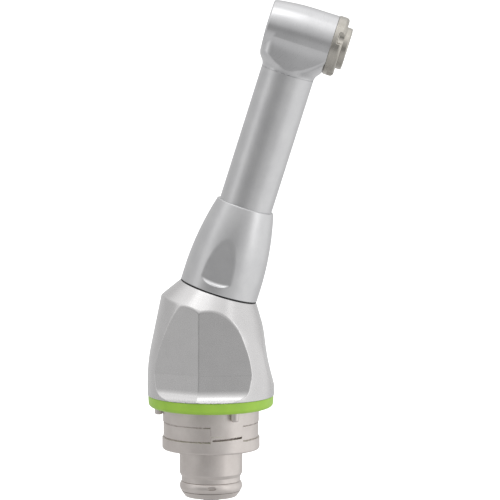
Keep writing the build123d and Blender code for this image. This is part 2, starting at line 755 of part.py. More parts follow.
def make_ring_gear():
    """Internal gear. Its spaces have the outline of a spur gear's teeth."""
    pitch_r = PLANET_MODULE * RING_TEETH / 2
    thickness = math.pi * PLANET_MODULE / 2 + PLANET_SLACK
    root = pitch_r - RING_ADDENDUM
    spaces = spur_outline(RING_TEETH, root, pitch_r + PLANET_DEDENDUM, thickness, 180.0 / RING_TEETH)
    length = RING_GEAR_HIGH - RING_GEAR_LOW
    cutter = extrude(Pos(0, 0, RING_GEAR_LOW - 1) * spaces, amount=length + 2, dir=(0, 0, 1))
    return rod(CAVITY_R - 0.02, RING_GEAR_LOW, RING_GEAR_HIGH) - cutter


def make_bearing_block():
    """Block that holds the carrier's two bearings in the grip body."""
    low = CARRIER_BEARINGS[0] + 0.1
    outer = CAVITY_R - 0.02
    return turned((BEARING_SEAT_R, low), (BLOCK_R, low), (BLOCK_R, RING_GEAR_HIGH), (outer, RING_GEAR_HIGH),
                  (outer, CAVITY_TOP - 0.05), (BEARING_SEAT_R, CAVITY_TOP - 0.05))


def make_rear_bevel():
    gear = bevel_gear(BEND_TEETH, BEND_CONE, BEND_SHARE, BEND_GEAR_BACK, BEARING_BORE_R)
    return Pos(0, 0, BEND_Z) * gear


def make_neck_bevel():
    turn = 180.0 / BEND_TEETH
    gear = bevel_gear(BEND_TEETH, BEND_CONE, BEND_SHARE, BEND_GEAR_BACK, BEARING_BORE_R, turn)
    return NECK * TURNED_OVER * gear


def make_neck_shaft():
    """Shaft up the neck, waisted between its two bearings."""
    low_seat, high_seat = NECK_BEARINGS
    waist_low = low_seat + BEARING_WIDTH + 2
    waist_high = high_seat - 1.6
    return NECK * turned(
        (0, NECK_SHAFT_LOW), (JOURNAL_R, NECK_SHAFT_LOW), (JOURNAL_R, waist_low - 0.7),
        (NECK_WAIST_R, waist_low), (NECK_WAIST_R, waist_high), (JOURNAL_R, waist_high + 0.7),
        (JOURNAL_R, NECK_SHAFT_TOP), (0, NECK_SHAFT_TOP),
    )


def make_head_drive_gear():
    gear = bevel_gear(HEAD_TEETH, HEAD_CONE, HEAD_SHARE, HEAD_GEAR_BACK, BEARING_BORE_R)
    return NECK * Pos(0, 0, HEAD_T) * gear


def make_carrier_spacer():
    return tube(BEARING_BORE_R + 0.02, SPACER_R, CARRIER_BEARINGS[0] + BEARING_WIDTH, CARRIER_BEARINGS[1])


def make_parts():
    parts = {
        "spigot": make_spigot(),
        "snap_ring": make_snap_ring(),
        "coupling_drum": make_coupling_drum(),
        "index_pegs": make_index_pegs(),
        "ratio_ring": make_ratio_ring(),
        "rear_body": make_rear_body(),
        "bend_o_ring": make_bend_o_ring(),
        "middle_sleeve": make_middle_sleeve(),
        "neck_tube": make_neck_tube(),
        "head_housing": make_head_housing(),
        "front_seal": make_front_seal(),
        "back_cap": make_back_cap(),
        "button_retainer": make_button_retainer(),
        "push_button": make_push_button(),
        "button_spring": make_button_spring(),
        "spindle": make_spindle(),
        "spindle_gear": make_spindle_gear(),
        "drive_key": make_drive_key(),
        "release_plunger": make_release_plunger(),
        "drive_shaft": make_drive_shaft(),
        "sun_gear": spur_gear(SUN_TEETH, SUN_SEAT_R + FIT_GAP / 3, PLANET_LOW - 0.4, SHAFT_TOP - 0.1),
        "ring_gear": make_ring_gear(),
        "carrier": make_carrier(),
        "carrier_cover": make_carrier_cover(),
        "planet_pins": planet_pin_group(PIN_R, PIN_LOW, PIN_TOP),
        "bearing_block": make_bearing_block(),
        "rear_bevel_gear": make_rear_bevel(),
        "neck_bevel_gear": make_neck_bevel(),
        "neck_shaft": make_neck_shaft(),
        "head_drive_gear": make_head_drive_gear(),
        "carrier_spacer": make_carrier_spacer(),
    }
    for index in range(PLANET_COUNT):
        parts[f"planet_gear_{index + 1}"] = make_planet(index)
    bearings = {
        "input": (BASE, INPUT_BEARINGS),
        "carrier": (BASE, CARRIER_BEARINGS),
        "neck": (NECK, NECK_BEARINGS),
        "spindle": (HEAD, SPINDLE_BEARINGS),
    }
    for name, (frame, lows) in bearings.items():
        outer, inner, balls, cages = bearing_set(frame, lows)
        parts[f"{name}_outer_races"] = outer
        parts[f"{name}_inner_races"] = inner
        parts[f"{name}_balls"] = balls
        parts[f"{name}_cages"] = cages
    return parts


os.makedirs("parts", exist_ok=True)
for node, shape in make_parts().items():
    export_step(shape, f"parts/{node}.step")
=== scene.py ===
import json
import math

import bpy
import numpy as np
from mathutils import Matrix, Vector

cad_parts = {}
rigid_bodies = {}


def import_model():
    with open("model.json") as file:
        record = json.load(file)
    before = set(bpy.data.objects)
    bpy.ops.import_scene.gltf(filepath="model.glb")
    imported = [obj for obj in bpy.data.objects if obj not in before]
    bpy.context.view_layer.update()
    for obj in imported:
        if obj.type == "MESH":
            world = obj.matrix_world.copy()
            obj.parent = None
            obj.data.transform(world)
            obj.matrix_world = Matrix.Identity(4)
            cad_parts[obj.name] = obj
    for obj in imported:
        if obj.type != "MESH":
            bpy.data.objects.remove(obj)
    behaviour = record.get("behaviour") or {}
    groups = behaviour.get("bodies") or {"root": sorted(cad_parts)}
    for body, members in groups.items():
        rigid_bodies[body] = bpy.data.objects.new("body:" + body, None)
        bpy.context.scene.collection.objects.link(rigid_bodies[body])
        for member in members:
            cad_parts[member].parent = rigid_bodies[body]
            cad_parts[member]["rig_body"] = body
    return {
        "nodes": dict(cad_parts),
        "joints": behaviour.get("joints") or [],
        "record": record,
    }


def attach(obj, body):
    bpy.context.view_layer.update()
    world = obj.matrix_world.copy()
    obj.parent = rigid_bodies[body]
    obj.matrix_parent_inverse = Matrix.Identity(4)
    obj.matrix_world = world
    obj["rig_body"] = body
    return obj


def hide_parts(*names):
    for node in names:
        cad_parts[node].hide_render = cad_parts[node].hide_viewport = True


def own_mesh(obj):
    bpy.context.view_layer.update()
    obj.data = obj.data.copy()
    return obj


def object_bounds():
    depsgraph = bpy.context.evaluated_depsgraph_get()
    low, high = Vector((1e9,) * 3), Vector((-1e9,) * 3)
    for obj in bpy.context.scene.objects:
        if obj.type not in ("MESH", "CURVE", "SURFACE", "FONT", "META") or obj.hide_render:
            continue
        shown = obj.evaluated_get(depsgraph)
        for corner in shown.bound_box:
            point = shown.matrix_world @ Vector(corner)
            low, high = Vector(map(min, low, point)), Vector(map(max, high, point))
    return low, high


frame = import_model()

CAD_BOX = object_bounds()

# ---------------------------------------------------------------- frames
# Shapes are drawn in millimetres in four local frames, and carried into the row frame in metres.

MM = 0.001
MICRON = 1e-6
SHARP_ANGLE = math.radians(28)
JOINTS = {joint["name"]: joint for joint in frame["joints"]}
BEND_POINT = Vector(JOINTS["neck_spin"]["pos_m"])
NECK_WAY = Vector(JOINTS["neck_spin"]["axis"])
HEAD_CENTRE = Vector(JOINTS["spindle_spin"]["pos_m"])
BUR_WAY = Vector(JOINTS["spindle_spin"]["axis"])
BACK_WAY = Vector((0, 1, 0))
BEND_Z = BEND_POINT.z / MM
HEAD_T = (HEAD_CENTRE - BEND_POINT).length / MM


def local_frame(origin, x_way, y_way, z_way):
    """A matrix that carries millimetres along three directions into metres in the row frame."""
    turn = Matrix((x_way, y_way, z_way)).transposed().to_4x4()
    return Matrix.Translation(origin) @ turn @ Matrix.Scale(MM, 4)


BASE = Matrix.Scale(MM, 4)
NECK = local_frame(BEND_POINT, BUR_WAY, BACK_WAY, NECK_WAY)
HEAD = local_frame(HEAD_CENTRE, BUR_WAY, BACK_WAY, NECK_WAY)
BUR = local_frame(HEAD_CENTRE, -NECK_WAY, BACK_WAY, BUR_WAY)

# ---------------------------------------------------------------- mesh tools


def add_piece(name, points, faces, normals, place):
    """A smooth mesh object from local points, with exact normals."""
    matrix = np.array(place)
    world = points @ matrix[:3, :3].T + matrix[:3, 3]
    turn = matrix[:3, :3] / MM
    mesh = bpy.data.meshes.new(name)
    mesh.from_pydata(world.tolist(), [], faces.tolist() if isinstance(faces, np.ndarray) else faces)
    mesh.polygons.foreach_set("use_smooth", np.ones(len(mesh.polygons), bool))
    mesh.normals_split_custom_set_from_vertices((normals @ turn.T).tolist())
    piece = bpy.data.objects.new(name, mesh)
    bpy.context.scene.collection.objects.link(piece)
    return piece


def rounded(corners, steps=6):
    """Points and outward normals of an outline of (radius, height, fillet), drawn counterclockwise."""
    on_axis = corners[0][0] == 0
    points, normals = [], []
    count = len(corners)
    for index, (radius, height, fillet) in enumerate(corners):
        here = np.array((radius, height))
        before = np.array(corners[index - 1][:2])
        after = np.array(corners[(index + 1) % count][:2])
        if on_axis and index in (0, count - 1):
            points.append(here)
            normals.append(np.array((0.0, -1.0 if index == 0 else 1.0)))
            continue
        way_in = (here - before) / np.linalg.norm(here - before)
        way_out = (after - here) / np.linalg.norm(after - here)
        turn = math.atan2(way_in[0] * way_out[1] - way_in[1] * way_out[0], way_in @ way_out)
        back = fillet * abs(math.tan(turn / 2))
        start = here - way_in * back
        normal_in = np.array((way_in[1], -way_in[0]))
        side = 1 if turn > 0 else -1
        centre = start - normal_in * fillet * side
        arc_steps = max(2, int(steps * abs(turn) / (math.pi / 2)) + 1)
        for step in range(arc_steps + 1):
            angle = turn * step / arc_steps
            cos, sin = math.cos(angle), math.sin(angle)
            normal = np.array(((cos, -sin), (sin, cos))) @ normal_in
            points.append(centre + normal * fillet * side)
            normals.append(normal)
    return np.array(points), np.array(normals)


def lathe_arrays(corners, segments=160):
    """Points, faces and normals of a solid of revolution about local Z."""
    outline, outline_normals = rounded(corners)
    on_axis = corners[0][0] == 0
    angles = 2 * math.pi * np.arange(segments) / segments
    if on_axis:
        body, body_normals = outline[1:-1], outline_normals[1:-1]
    else:
        body, body_normals = outline, outline_normals
    cos, sin = np.cos(angles)[None, :], np.sin(angles)[None, :]

    def swept(pairs):
        radius, height = pairs[:, :1], pairs[:, 1:]
        return np.stack([radius * cos, radius * sin, height + 0 * cos], 2).reshape(-1, 3)

    points, normals = swept(body), swept(body_normals)
    rows = len(body)
    last = rows if not on_axis else rows - 1
    faces = []
    for row in range(last):
        low = row * segments
        high = ((row + 1) % rows) * segments
        for column in range(segments):
            ahead = (column + 1) % segments
            faces.append((low + column, low + ahead, high + ahead, high + column))
    if on_axis:
        bottom, top = len(points), len(points) + 1
        points = np.vstack([points, [(0, 0, outline[0][1]), (0, 0, outline[-1][1])]])
        normals = np.vstack([normals, [(0, 0, -1), (0, 0, 1)]])
        edge = (rows - 1) * segments
        for column in range(segments):
            ahead = (column + 1) % segments
            faces.append((bottom, ahead, column))
            faces.append((top, edge + column, edge + ahead))
    return points, faces, normals


def lathe(name, corners, place, segments=160):
    """A piece turned about a local frame's Z axis."""
    return add_piece(name, *lathe_arrays(corners, segments), place)


def tube_corners(inner, outer, low, high, fillet):
    """The outline of a plain tube, with the same fillet at each corner."""
    return [(inner, low, fillet), (outer, low, fillet), (outer, high, fillet), (inner, high, fillet)]


def surface_net(field, low, high, cell):
    """Quads over the surface where a field is zero: one point in every cell that the surface crosses."""
    start = np.array(low, float) - 2 * cell
    counts = [int(math.ceil((high[axis] - low[axis]) / cell)) + 5 for axis in range(3)]
    lines = [start[axis] + cell * np.arange(counts[axis]) for axis in range(3)]
    value = field(*np.meshgrid(*lines, indexing="ij"))
    quads, places = [], []
    for axis in range(3):
        lower = value.take(range(counts[axis] - 1), axis)
        upper = value.take(range(1, counts[axis]), axis)
        edges = np.argwhere((lower < 0) != (upper < 0))
        first, second = lower[tuple(edges.T)], upper[tuple(edges.T)]
        place = edges.astype(float)
        place[:, axis] += first / (first - second)
        ring = []
        for step_b, step_c in ((0, 0), (-1, 0), (-1, -1), (0, -1)):
            corner = edges.copy()
            corner[:, (axis + 1) % 3] += step_b
            corner[:, (axis + 2) % 3] += step_c
            ring.append(np.ravel_multi_index(tuple(corner.T), counts))
        ring = np.stack(ring, 1)
        flip = first >= 0
        ring[flip] = ring[flip][:, ::-1]
        quads.append(ring)
        places.append(np.repeat(place[:, None, :], 4, 1))
    quads, places = np.concatenate(quads), np.concatenate(places)
    cells, index = np.unique(quads, return_inverse=True)
    index = index.reshape(quads.shape)
    weight = np.bincount(index.ravel(), minlength=len(cells))
    middle = [np.bincount(index.ravel(), places[..., axis].ravel(), len(cells)) / weight for axis in range(3)]
    return start + cell * np.stack(middle, 1), index


def slope_of(field, points, step=0.004):
    """The field's slope at each point, along X, Y and Z."""
    columns = []
    for axis in range(3):
        shift = np.zeros(3)
        shift[axis] = step
        columns.append((field(*(points + shift).T) - field(*(points - shift).T)) / (2 * step))
    return np.stack(columns, 1)


def net_arrays(field, low, high, cell):
    """Points settled on the field's zero surface, the quads, and the field's own normals."""
    points, quads = surface_net(field, low, high, cell)
    for _ in range(4):
        slope = slope_of(field, points)
        steep = np.maximum((slope ** 2).sum(1), 0.1)
        move = -(field(*points.T) / steep)[:, None] * slope
        length = np.linalg.norm(move, axis=1, keepdims=True)
        points = points + move * np.minimum(1, 0.4 * cell / np.maximum(length, 1e-9))
    slope = slope_of(field, points)
    normals = slope / np.maximum(np.linalg.norm(slope, axis=1, keepdims=True), 1e-9)
    return points, quads, normals


def sculpt(name, field, low, high, cell, place):
    """A piece whose surface is a field's zero surface, in a local frame."""
    return add_piece(name, *net_arrays(field, low, high, cell), place)


def meet(a, b, fillet=0.0):
    """Where both fields are inside, with a rounded edge."""
    if not fillet:
        return np.maximum(a, b)
    near_edge = np.hypot(np.maximum(a + fillet, 0), np.maximum(b + fillet, 0))
    return np.minimum(-fillet, np.maximum(a, b)) + near_edge


def join(a, b, fillet=0.0):
    """Where either field is inside, with a rounded corner between them."""
    return -meet(-a, -b, fillet)


def cut(a, b, fillet=0.0):
    """The first field without the second, with a rounded edge."""
    return meet(a, -b, fillet)


def band(value, low, high):
    """A field that is inside between two values."""
    return np.maximum(low - value, value - high)


def turned_about(degrees, x, y):
    """How far a point lies along a direction in the XY plane, given by its angle, and across it."""
    way = math.radians(degrees)
    return x * math.cos(way) + y * math.sin(way), -x * math.sin(way) + y * math.cos(way)


def stand_for(piece, *nodes):
    """The piece replaces CAD nodes: it rides on their body, and the nodes are hidden."""
    body = frame["nodes"][nodes[0]]["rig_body"]
    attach(piece, body)
    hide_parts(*nodes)


SLOT_OF = {part["node"]: part["material_slot"] for part in frame["record"]["subparts"]}

# ---------------------------------------------------------------- driving dimensions

FINE = 0.1

# Shared by several pieces
FIT_GAP = 0.015
SEAT_R = 3.19
BEARING_WIDTH = 2.0

# Coupling end
SPIGOT_R = 5.27
SPIGOT_LENGTH = 4.1
SPIGOT_TAIL_R = 5.0
SPIGOT_TOP = 7.0
SPIGOT_BORE_R = 2.7
INPUT_BEARINGS = (-5.8, 4.4)
GROOVE_R = 4.93
GROOVE_HIGH = -4.7
GROOVE_LOW = -5.5
NOSE_R = 4.95
NOSE_HIGH = -7.15
NOSE_TIP_R = 4.28
NOSE_BORE_R = 1.75
NOSE_END = -8.15
SNAP_SEAT_R = 4.6
SNAP_R = 5.25
SNAP_Z = -6.3
SNAP_HIGH = -5.52
SNAP_LOW = -7.13
SNAP_CURVE = 0.464
DIMPLE_Z = -6.15
DIMPLE_ANGLE = -85.5
DIMPLE_REACH = 0.38
DIMPLE_HALF = 0.25
DIMPLE_FLOOR = 4.78
DRUM_R = 8.05
DRUM_RIM_R = 8.16
DRUM_BORE_R = 5.02
RIM_ROUND = 0.3
RIM_TOP = 3.0
DRUM_TOP = 7.06
BAND_LOW = 2.1
BAND_HIGH = 4.54
BAND_FLOOR = 7.95
BAND_EDGES = (4.56, 2.06)
EDGE_LINE_HALF = 0.055
EDGE_LINE_FLOOR = 7.87
# Angles round the drum are turned into lengths at this radius
DRUM_ARC_R = 8.0
LUG_START = -87.5
LUG_SWEEP = 42.0
# The slot's place is its angle past the start of the lug, and its height
SLOT_FROM_LUG = 21.0
SLOT_Z = 2.55
SLOT_RISE = math.radians(3.3)
SLOT_HALF_LENGTH = 2.6
SLOT_HALF_WIDTH = 0.14
SLOT_FLOOR = 7.3
REGISTER_R = 7.48
REGISTER_BORE_R = 6.6
REGISTER_TOP = 9.1
RING_TOP = 9.0
RING_R = 10.5
RING_ROUND = 0.7
PEG_R = 0.675
PEG_LOW = 5.6
PEG_TOP = 10.5
PEG_CIRCLE_R = 8.75
PEG_ANGLES = (60.0, 180.0, 300.0)

# Grip body
BODY_R = 10.61
BODY_CONE = math.radians(11.6)
BODY_ARC_LOW = 11.3
BODY_ARC_R = 31.0
BODY_BOSS_R = 8.2
BODY_TOP = 29.0
SHOULDER_R = 6.63
SHOULDER_T = 4.3
SHOULDER_CONE = math.radians(33.5)
# Each facet: its angle about Z, its distance from the axis at the bend's height, how much it leans in
# per millimetre of height, then the foot: its top, the drop and angle of its slope, and its flare's radius
FACETS = (
    (0.0, 8.59, 0.078, 17.0, 0.0, 4.46, 20.0),
    (82.5, 8.33, 0.024, 13.35, 2.45, 10.0, 2.4),
    (-82.5, 8.33, 0.024, 13.35, 2.45, 10.0, 2.4),
    (115.5, 8.45, 0.022, 13.35, 2.45, 10.0, 2.4),
    (-115.5, 8.45, 0.022, 13.35, 2.45, 10.0, 2.4),
)
# The sine of the angle at which a facet's flare ends, beyond the body's wall
FLARE_END = 0.985
CAVITY_R = 7.5
CAVITY_TOP = 20.4
GEAR_BORE_R = 3.9
GEAR_BORE_TOP = 22.6
GEAR_BORE_START = -0.6
GEAR_BORE_END = 2.5

# Middle sleeve and neck
SEAL_BORE_R = 5.6
SLEEVE_LOW = 4.5
SLEEVE_HIGH = 19.4
SLEEVE_ARC_LOW = 6.3
SLEEVE_ARC_R = 49.5
SLEEVE_FLAT = 6.12
SLEEVE_FLAT_LOW = 5.75
SLEEVE_FLAT_CURVE = 0.05
SLEEVE_FLAT_WAYS = (-98.0, 98.0)
NECK_R = 4.49
NECK_HIGH = 42.6
NECK_TAIL_R = 4.2
NECK_TAIL_LOW = 2.1
NECK_SPIGOT_R = 3.8
NECK_TOP = 45.0

# Head, in its own frames
HEAD_FRONT = -5.72
HEAD_BACK = 5.45
HEAD_R = 4.93
HEAD_FULL = 1.5
HEAD_BULGE = 0.0124
HEAD_TAPER = 0.0083
HEAD_MOUTH_R = 2.2
HEAD_SEAT_START = -5.25
HEAD_BORE_R = 3.6
HEAD_BORE_START = -3.25
HEAD_GEAR_BORE_R = 3.3
BOSS_SHARE = 0.93
BOSS_BLEND = 0.35
BOSS_BLEND_DEPTH = 1.2
FLARE_BEND = math.radians(40.0)
FLARE_R = 1.6
CAP_R = 5.05
CAP_BACK = 7.25
CAP_ROUND = 0.6
CAP_BORE_R = 4.2
CAP_FLOOR = 5.85
CAP_SLEEVE_LOW = 3.45
SCALLOPS = 4
SCALLOP_FIRST = -21.0
SCALLOP_R = 1.35
SCALLOP_OUT = 0.75
SCALLOP_LOW = 6.2
SEAL_R = 1.6
SEAL_BACK = -5.3
BUTTON_R = 3.57
BUTTON_BACK = 8.25
BUTTON_FLANGE_R = 3.95
BUTTON_FLANGE_LOW = 6.45
BUTTON_FLANGE_TOP = 6.8
BUTTON_BOSS_R = 1.0
BUTTON_BOSS_LOW = 6.9
BUTTON_ROOF = 7.45
BUTTON_WALL_R = 3.4
BUTTON_CROWN_R = 2.7
RETAINER_LOW = 6.85
COIL_R = 2.85
COIL_WIRE_R = 0.14
COIL_TURNS = 3
COIL_LOW = 5.66
COIL_HIGH = 7.3

# Spindle, along the bur axis, and drive shaft, along the coupling axis
CHUCK_R = 1.18
CHUCK_MOUTH = -5.55
CHUCK_END = 1.2
RELIEF_R = 1.4
RELIEF_END = 1.8
KEY_END = 3.4
PLUNGER_BORE_R = 0.95
SPINDLE_TOP = 5.9
JOURNAL_R = 1.49
COLLAR_R = 1.75
COLLAR_LOW = 1.0
COLLAR_TOP = 2.38
FRONT_COLLAR_R = 1.8
FRONT_COLLAR_LOW = -3.25
FRONT_COLLAR_TOP = -2.9
SHAFT_STUB_R = 1.3
SHAFT_END = -11.2
SHAFT_STUB_TOP = -5.95
SHAFT_TOP = 13.2
SUN_SEAT_R = 1.2
SUN_SEAT_LOW = 6.0
SHAFT_BODY_TOP = 6.65
TANG_HALF = 0.8
TANG_TOP = -9.9

# Where a wall leans, its field grows by more than one per millimetre, and this factor brings it back
LEANING_WALL = 0.98

# ---------------------------------------------------------------- coupling end


def make_spigot():
    """Turned stub with the drive shaft's bearing seats, and a nose that the snap ring sits on."""
    low_seat, high_seat = INPUT_BEARINGS
    low_top = low_seat + BEARING_WIDTH
    shoulder_z = -0.01
    corners = [
        (NOSE_BORE_R, NOSE_END, 0.08), (NOSE_TIP_R, NOSE_END, 0.3), (NOSE_R, NOSE_HIGH - 0.05, 0.06),
        (SNAP_SEAT_R, NOSE_HIGH, 0.02), (SNAP_SEAT_R, GROOVE_LOW, 0.02), (GROOVE_R, GROOVE_LOW, 0.06),
        (GROOVE_R, GROOVE_HIGH, 0.12), (SPIGOT_R, -SPIGOT_LENGTH, 0.22), (SPIGOT_R, shoulder_z, 0.02),
        (SPIGOT_TAIL_R, shoulder_z, 0.01), (SPIGOT_TAIL_R, SPIGOT_TOP, 0.1), (SEAT_R, SPIGOT_TOP, 0.1),
        (SEAT_R, high_seat, 0.05), (SPIGOT_BORE_R, high_seat, 0.05), (SPIGOT_BORE_R, low_top, 0.05),
        (SEAT_R, low_top, 0.05), (SEAT_R, low_seat, 0.05), (NOSE_BORE_R, low_seat, 0.05),
    ]
    return lathe("spigot_stub", corners, BASE)


def snap_ring_field(x, y, z):
    """Rounded ring with a small sunk dimple at the front."""
    r = np.hypot(x, y)
    ring = meet(r - SNAP_R + SNAP_CURVE * (z - SNAP_Z) ** 2, band(z, SNAP_LOW, SNAP_HIGH), 0.05)
    ring = cut(ring, r - (SNAP_SEAT_R + 0.02), 0.02)
    depth, across = turned_about(DIMPLE_ANGLE, x, y)
    past_middle = np.maximum(np.abs(across) - DIMPLE_REACH, 0)
    dimple = meet(np.hypot(past_middle, z - DIMPLE_Z) - DIMPLE_HALF, DIMPLE_FLOOR - depth, 0.05)
    return cut(ring, dimple, 0.05)


def drum_field(x, y, z):
    """Bayonet drum: rim, band groove broken by the lug, and the sloping slot under the lug."""
    r = np.hypot(x, y)
    rim = meet(meet(r - DRUM_RIM_R, -z, RIM_ROUND), z - RIM_TOP, 0.05)
    wall = meet(r - DRUM_R, z - DRUM_TOP, 0.05)
    drum = join(rim, meet(wall, -z), 0.04)
    drum = join(drum, meet(meet(r - REGISTER_R, z - REGISTER_TOP, 0.1), -z), 0.05)
    drum = cut(drum, r - DRUM_BORE_R, 0.08)
    drum = cut(drum, meet(r - REGISTER_BORE_R, DRUM_TOP - z, 0.05), 0.05)
    arc_per_degree = math.radians(1) * DRUM_ARC_R
    from_lug = np.mod(np.degrees(np.arctan2(y, x)) - LUG_START + 180, 360) - 180
    outside_lug = np.minimum(np.maximum(-from_lug, from_lug - LUG_SWEEP), 90) * arc_per_degree
    groove = meet(band(z, BAND_LOW, BAND_HIGH), BAND_FLOOR - r, 0.06)
    drum = cut(drum, meet(groove, -outside_lug, 0.08), 0.03)
    upper, lower = BAND_EDGES
    line = join(np.abs(z - upper), np.abs(z - lower)) - EDGE_LINE_HALF
    drum = cut(drum, meet(meet(line, EDGE_LINE_FLOOR - r), -outside_lug), 0.02)
    along = (from_lug - SLOT_FROM_LUG) * arc_per_degree
    across = (z - SLOT_Z) * math.cos(SLOT_RISE) - along * math.sin(SLOT_RISE)
    slot = meet(np.abs(across) - SLOT_HALF_WIDTH, np.abs(along) - SLOT_HALF_LENGTH)
    return cut(drum, meet(slot, SLOT_FLOOR - r), 0.04)


def make_index_pegs():
    """Three round pegs that stand down through the ratio ring, as one piece."""
    corners = [(0, PEG_LOW, 0), (PEG_R, PEG_LOW, 0.3), (PEG_R, PEG_TOP, 0.1), (0, PEG_TOP, 0)]
    points, faces, normals = lathe_arrays(corners, 48)
    all_points, all_faces, all_normals = [], [], []
    for degrees in PEG_ANGLES:
        angle = math.radians(degrees)
        shift = PEG_CIRCLE_R * np.array((math.cos(angle), math.sin(angle), 0))
        offset = len(points) * len(all_points)
        all_points.append(points + shift)
        all_normals.append(normals)
        all_faces += [tuple(corner + offset for corner in face) for face in faces]
    return add_piece("index_peg_set", np.vstack(all_points), all_faces, np.vstack(all_normals), BASE)


def make_ratio_ring():
    """The green ring, rounded at its lower edge."""
    inner, top = BODY_BOSS_R + 0.02, RING_TOP - 0.02
    corners = [
        (inner, DRUM_TOP, 0.05), (RING_R - 0.08, DRUM_TOP, RING_ROUND), (RING_R, top, 0.07),
        (inner, top, 0.05),
    ]
    return lathe("ratio_band", corners, BASE, 256)


# ---------------------------------------------------------------- grip body


def body_radius(z):
    """The turned outline: a cylinder, an arc and a cone."""
    arc_top = BODY_ARC_LOW + BODY_ARC_R * math.sin(BODY_CONE)
    rise = np.clip(z - BODY_ARC_LOW, 0, BODY_ARC_R * math.sin(BODY_CONE))
    on_arc = BODY_R - BODY_ARC_R + np.sqrt(BODY_ARC_R ** 2 - rise ** 2)
    return on_arc - np.maximum(z - arc_top, 0) * math.tan(BODY_CONE)


def facet_distance(z, distance, lean, foot_top, drop, angle, flare_r):
    """How far a facet stands from the axis: a leaning flat, a short slope at its foot, and a flare."""
    slope = math.radians(angle)
    start = distance + lean * (BEND_Z - foot_top)
    knee = foot_top - drop
    sine = np.clip((knee - z) / flare_r + math.sin(slope), math.sin(slope), FLARE_END)
    flare = start + drop * math.tan(slope) + flare_r * (math.cos(slope) - np.sqrt(1 - sine ** 2))
    sloped = start + (foot_top - z) * math.tan(slope)
    return np.where(z > foot_top, start - lean * (z - foot_top), np.where(z > knee, sloped, flare))


def to_neck(x, z):
    """Along the bur way and up the neck from the bend, for a point in the XZ plane."""
    rise = z - BEND_Z
    return x * BUR_WAY.x + rise * BUR_WAY.z, x * NECK_WAY.x + rise * NECK_WAY.z


def body_field(x, y, z):
    """Turned body with its facets, the shoulder square to the neck, and the cavities for the gears."""
    r = np.hypot(x, y)
    body = (r - body_radius(z)) * LEANING_WALL
    for angle, *shape in FACETS:
        outward, _ = turned_about(angle, x, y)
        body = meet(body, outward - facet_distance(z, *shape), 0.04)
    s, t = to_neck(x, z)
    neck_r = np.hypot(s, y)
    cone_r = SHOULDER_R + (SHOULDER_T - t) * math.tan(SHOULDER_CONE)
    body = meet(body, (neck_r - cone_r) * math.cos(SHOULDER_CONE), 0.16)
    body = meet(body, t - SHOULDER_T, 0.08)
    body = meet(body, RING_TOP - z, 0.1)
    body = join(body, meet(r - BODY_BOSS_R, band(z, DRUM_TOP, RING_TOP + 1)), 0.03)
    cavity = join(meet(r - CAVITY_R, z - CAVITY_TOP), meet(r - GEAR_BORE_R, z - GEAR_BORE_TOP))
    cavity = join(cavity, meet(neck_r - GEAR_BORE_R, band(t, GEAR_BORE_START, GEAR_BORE_END)))
    cavity = join(cavity, meet(neck_r - (NECK_TAIL_R + FIT_GAP), NECK_TAIL_LOW - t))
    return cut(body, cavity, 0.04)


def make_bend_o_ring():
    """Black ring in the gap between the body's shoulder and the sleeve."""
    corners = tube_corners(SEAL_BORE_R, SHOULDER_R - 0.06, SHOULDER_T, SLEEVE_LOW, 0.06)
    return lathe("bend_seal_ring", corners, NECK, 200)


# ---------------------------------------------------------------- middle sleeve and neck


def sleeve_field(x, y, z):
    """Barrel-shaped sleeve with a milled flat on each side."""
    r = np.hypot(x, y)
    rise = np.clip(z - SLEEVE_ARC_LOW, 0, 20)
    outer = SHOULDER_R - SLEEVE_ARC_R + np.sqrt(SLEEVE_ARC_R ** 2 - rise ** 2)
    sleeve = (r - outer) * LEANING_WALL
    for way in SLEEVE_FLAT_WAYS:
        outward, aside = turned_about(way, x, y)
        low_end = SLEEVE_FLAT_LOW + SLEEVE_FLAT_CURVE * aside ** 2
        sleeve = cut(sleeve, meet(SLEEVE_FLAT - outward, low_end - z, 0.7), 0.1)
    sleeve = meet(sleeve, SLEEVE_LOW - z, 0.1)
    sleeve = meet(sleeve, z - SLEEVE_HIGH, 0.12)
    return cut(sleeve, r - (NECK_TAIL_R + FIT_GAP), 0.04)


def make_neck_tube():
    """Neck tube, with a tail in the sleeve below and a spigot in the head above."""
    corners = [
        (SEAT_R, NECK_TAIL_LOW, 0.05), (NECK_TAIL_R, NECK_TAIL_LOW, 0.1),
        (NECK_TAIL_R, SLEEVE_HIGH - 0.1, 0.02), (NECK_R, SLEEVE_HIGH, 0.05), (NECK_R, NECK_HIGH, 0.015),
        (NECK_SPIGOT_R, NECK_HIGH, 0.02), (NECK_SPIGOT_R, NECK_TOP, 0.1), (SEAT_R, NECK_TOP, 0.05),
    ]
    return lathe("neck_barrel", corners, NECK, 224)


# ---------------------------------------------------------------- head


def boss_half_width(u, reach, taper):
    """Half the boss's width: the barrel's own at mid height, blended into leaning sides lower down."""
    barrel_side = np.sqrt(np.maximum(reach ** 2 - u ** 2, 0))
    boss_side = BOSS_SHARE * reach * taper
    blend = BOSS_BLEND * np.clip(-u / BOSS_BLEND_DEPTH, 0, 1)
    return 0.5 * (barrel_side + boss_side + np.hypot(barrel_side - boss_side, blend))


def flare_field(neck_r, rise):
    """Inside the flare that widens from the neck: an arc, then a cone."""
    arc_height = FLARE_R * math.sin(FLARE_BEND)
    on_arc = NECK_R + FLARE_R - np.sqrt(FLARE_R ** 2 - np.clip(rise, 0, arc_height) ** 2)
    flare = on_arc + np.maximum(rise - arc_height, 0) * math.tan(FLARE_BEND)
    slant = np.where(rise > arc_height, math.cos(FLARE_BEND), 1.0)
    return (neck_r - flare) * slant


